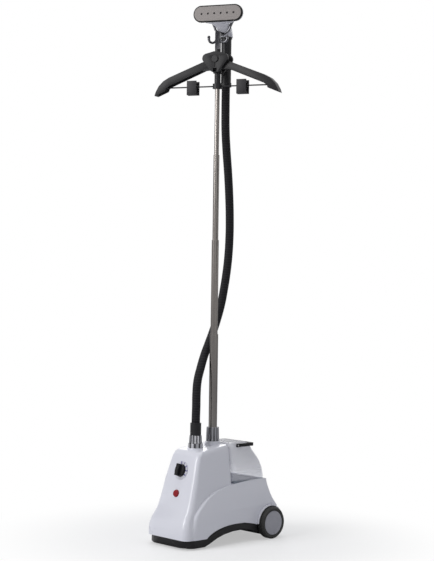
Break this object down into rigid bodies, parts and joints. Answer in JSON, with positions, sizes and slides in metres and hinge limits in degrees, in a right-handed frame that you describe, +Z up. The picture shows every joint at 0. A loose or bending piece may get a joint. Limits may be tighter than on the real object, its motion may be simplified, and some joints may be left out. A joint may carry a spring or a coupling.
{
  "type": "garment steamer",
  "caption": "Upright garment steamer: wheeled base with water tank, telescoping pole, clip hanger and hook bracket, ribbed hose and lift-off steam head.",
  "frame": {"origin": "floor level under the middle of the bounding box, without the hose", "axes": "+Z up along the pole; the base's front, with the dial, faces -Y; +X is to the object's left as it faces forward"},
  "size_m": [0.3662, 0.378, 1.5675],
  "materials": {
    "black_plastic": "satin",
    "white_plastic": "gloss",
    "grey_blue_plastic": "satin",
    "rubber": "matte",
    "steel": "brushed",
    "chrome": "polished",
    "tyre": "matte",
    "hub_grey": "satin",
    "red_lens": "gloss",
    "cream_plastic": "satin",
    "aluminium": "cast",
    "brass": "plain",
    "copper": "drawn",
    "clear_plastic": "clear",
    "satin_black": "satin",
    "dark_grey": "satin",
    "sole_metal": "satin",
    "hose_fabric": "woven"
  },
  "bodies": {
    "base": {"base_skirt": "black_plastic", "upper_housing": "white_plastic", "deck_tray": "grey_blue_plastic", "front_feet": "rubber", "axle": "steel", "axle_bearings": "black_plastic", "dial_plate": "white_plastic", "indicator_lens": "red_lens", "lamp_holder": "cream_plastic", "rotary_switch": "dark_grey", "pole_socket": "dark_grey", "hose_union": "chrome", "boiler": "aluminium", "heater_terminals": "brass", "thermostat": "dark_grey", "feed_pipe": "cream_plastic", "steam_pipe": "copper", "valve_seat": "black_plastic", "cord_gland": "rubber", "pole_tube_1": "steel", "guide_ring_1": "black_plastic", "hose_cuff": "black_plastic", "steam_hose": "hose_fabric"},
    "wheel_right": {"wheel_right_tyre": "tyre", "wheel_right_hub": "hub_grey"},
    "wheel_left": {"wheel_left_tyre": "tyre", "wheel_left_hub": "hub_grey"},
    "dial": {"dial_knob": "black_plastic"},
    "hose_nut": {"hose_nut": "chrome"},
    "lock_collar": {"pole_lock_collar": "chrome"},
    "tank": {"water_tank": "clear_plastic", "tank_cap": "dark_grey"},
    "tank_handle": {"tank_handle": "black_plastic"},
    "mast_2": {"pole_tube_2": "steel", "guide_ring_2": "black_plastic", "foot_bush_2": "cream_plastic"},
    "mast_3": {"pole_tube_3": "steel", "guide_ring_3": "black_plastic", "foot_bush_3": "cream_plastic"},
    "mast_4": {"pole_tube_4": "steel", "foot_bush_4": "cream_plastic", "hanger_sleeve": "satin_black", "hub_front": "satin_black", "hub_back": "satin_black", "arm_right": "satin_black", "arm_left": "satin_black", "clip_rods": "satin_black", "hook_bracket": "chrome"},
    "button": {"hanger_button": "black_plastic"},
    "clip_right": {"clip_right_body": "dark_grey"},
    "clip_right_jaw": {"clip_right_jaw": "dark_grey"},
    "clip_left": {"clip_left_body": "dark_grey"},
    "clip_left_jaw": {"clip_left_jaw": "dark_grey"},
    "handset": {"handset_handle": "black_plastic", "neck_ring": "black_plastic", "head_housing": "white_plastic", "head_gasket": "rubber", "soleplate": "sole_metal"}
  },
  "joints": [
    {"name": "wheel_right_spin", "type": "hinge", "parent": "base", "child": "wheel_right", "pos_m": [0.096, 0.142, 0.047], "axis": [1, 0, 0], "continuous": true},
    {"name": "wheel_left_spin", "type": "hinge", "parent": "base", "child": "wheel_left", "pos_m": [-0.096, 0.142, 0.047], "axis": [1, 0, 0], "continuous": true},
    {"name": "dial_turn", "type": "hinge", "parent": "base", "child": "dial", "pos_m": [0, -0.1318, 0.214], "axis": [0, -0.9578, 0.2873], "range_deg": [-120, 120]},
    {"name": "hose_nut_turn", "type": "hinge", "parent": "base", "child": "hose_nut", "pos_m": [0, -0.078, 0.3], "axis": [0, 0, 1], "range_deg": [-30, 30]},
    {"name": "lock_collar_turn", "type": "hinge", "parent": "base", "child": "lock_collar", "pos_m": [0, -0.01, 0.31], "axis": [0, 0, 1], "range_deg": [-30, 30]},
    {"name": "tank_lift", "type": "slide", "parent": "base", "child": "tank", "axis": [0, 0, 1], "range_m": [0, 0.12]},
    {"name": "tank_handle_swing", "type": "hinge", "parent": "tank", "child": "tank_handle", "pos_m": [0, 0.038, 0.2793], "axis": [1, 0, 0], "range_deg": [0, 90]},
    {"name": "mast_2_slide", "type": "slide", "parent": "base", "child": "mast_2", "axis": [0, 0, 1], "range_m": [-0.22, 0], "deforming": ["steam_hose"]},
    {"name": "mast_3_slide", "type": "slide", "parent": "mast_2", "child": "mast_3", "axis": [0, 0, 1], "range_m": [-0.1981, 0]},
    {"name": "mast_4_slide", "type": "slide", "parent": "mast_3", "child": "mast_4", "axis": [0, 0, 1], "range_m": [-0.1651, 0]},
    {"name": "handset_lift", "type": "slide", "parent": "mast_4", "child": "handset", "axis": [0, 0, 1], "range_m": [0, 0.05]},
    {"name": "hanger_button_push", "type": "slide", "parent": "mast_4", "child": "button", "axis": [-0.4226, 0.9063, 0], "range_m": [0, 0.003], "stiffness_N_per_m": 300, "springref_m": -0.002},
    {"name": "clip_right_slide", "type": "slide", "parent": "mast_4", "child": "clip_right", "axis": [0.9063, 0.4226, 0], "range_m": [-0.04, 0.04]},
    {"name": "clip_left_slide", "type": "slide", "parent": "mast_4", "child": "clip_left", "axis": [0.9063, 0.4226, 0], "range_m": [-0.04, 0.04]},
    {"name": "clip_right_squeeze", "type": "hinge", "parent": "clip_right", "child": "clip_right_jaw", "pos_m": [0.07069, 0.02296, 1.33], "axis": [0.9063, 0.4226, 0], "range_deg": [0, 25], "stiffness_Nm_per_rad": 0.05, "springref_deg": -20.05},
    {"name": "clip_left_squeeze", "type": "hinge", "parent": "clip_left", "child": "clip_left_jaw", "pos_m": [-0.07069, -0.04296, 1.33], "axis": [0.9063, 0.4226, 0], "range_deg": [0, 25], "stiffness_Nm_per_rad": 0.05, "springref_deg": -20.05}
  ],
  "couplings": [
    {"joint": "mast_3_slide", "follows": "mast_2_slide", "ratio": 0.9},
    {"joint": "mast_4_slide", "follows": "mast_2_slide", "ratio": 0.75}
  ]
}
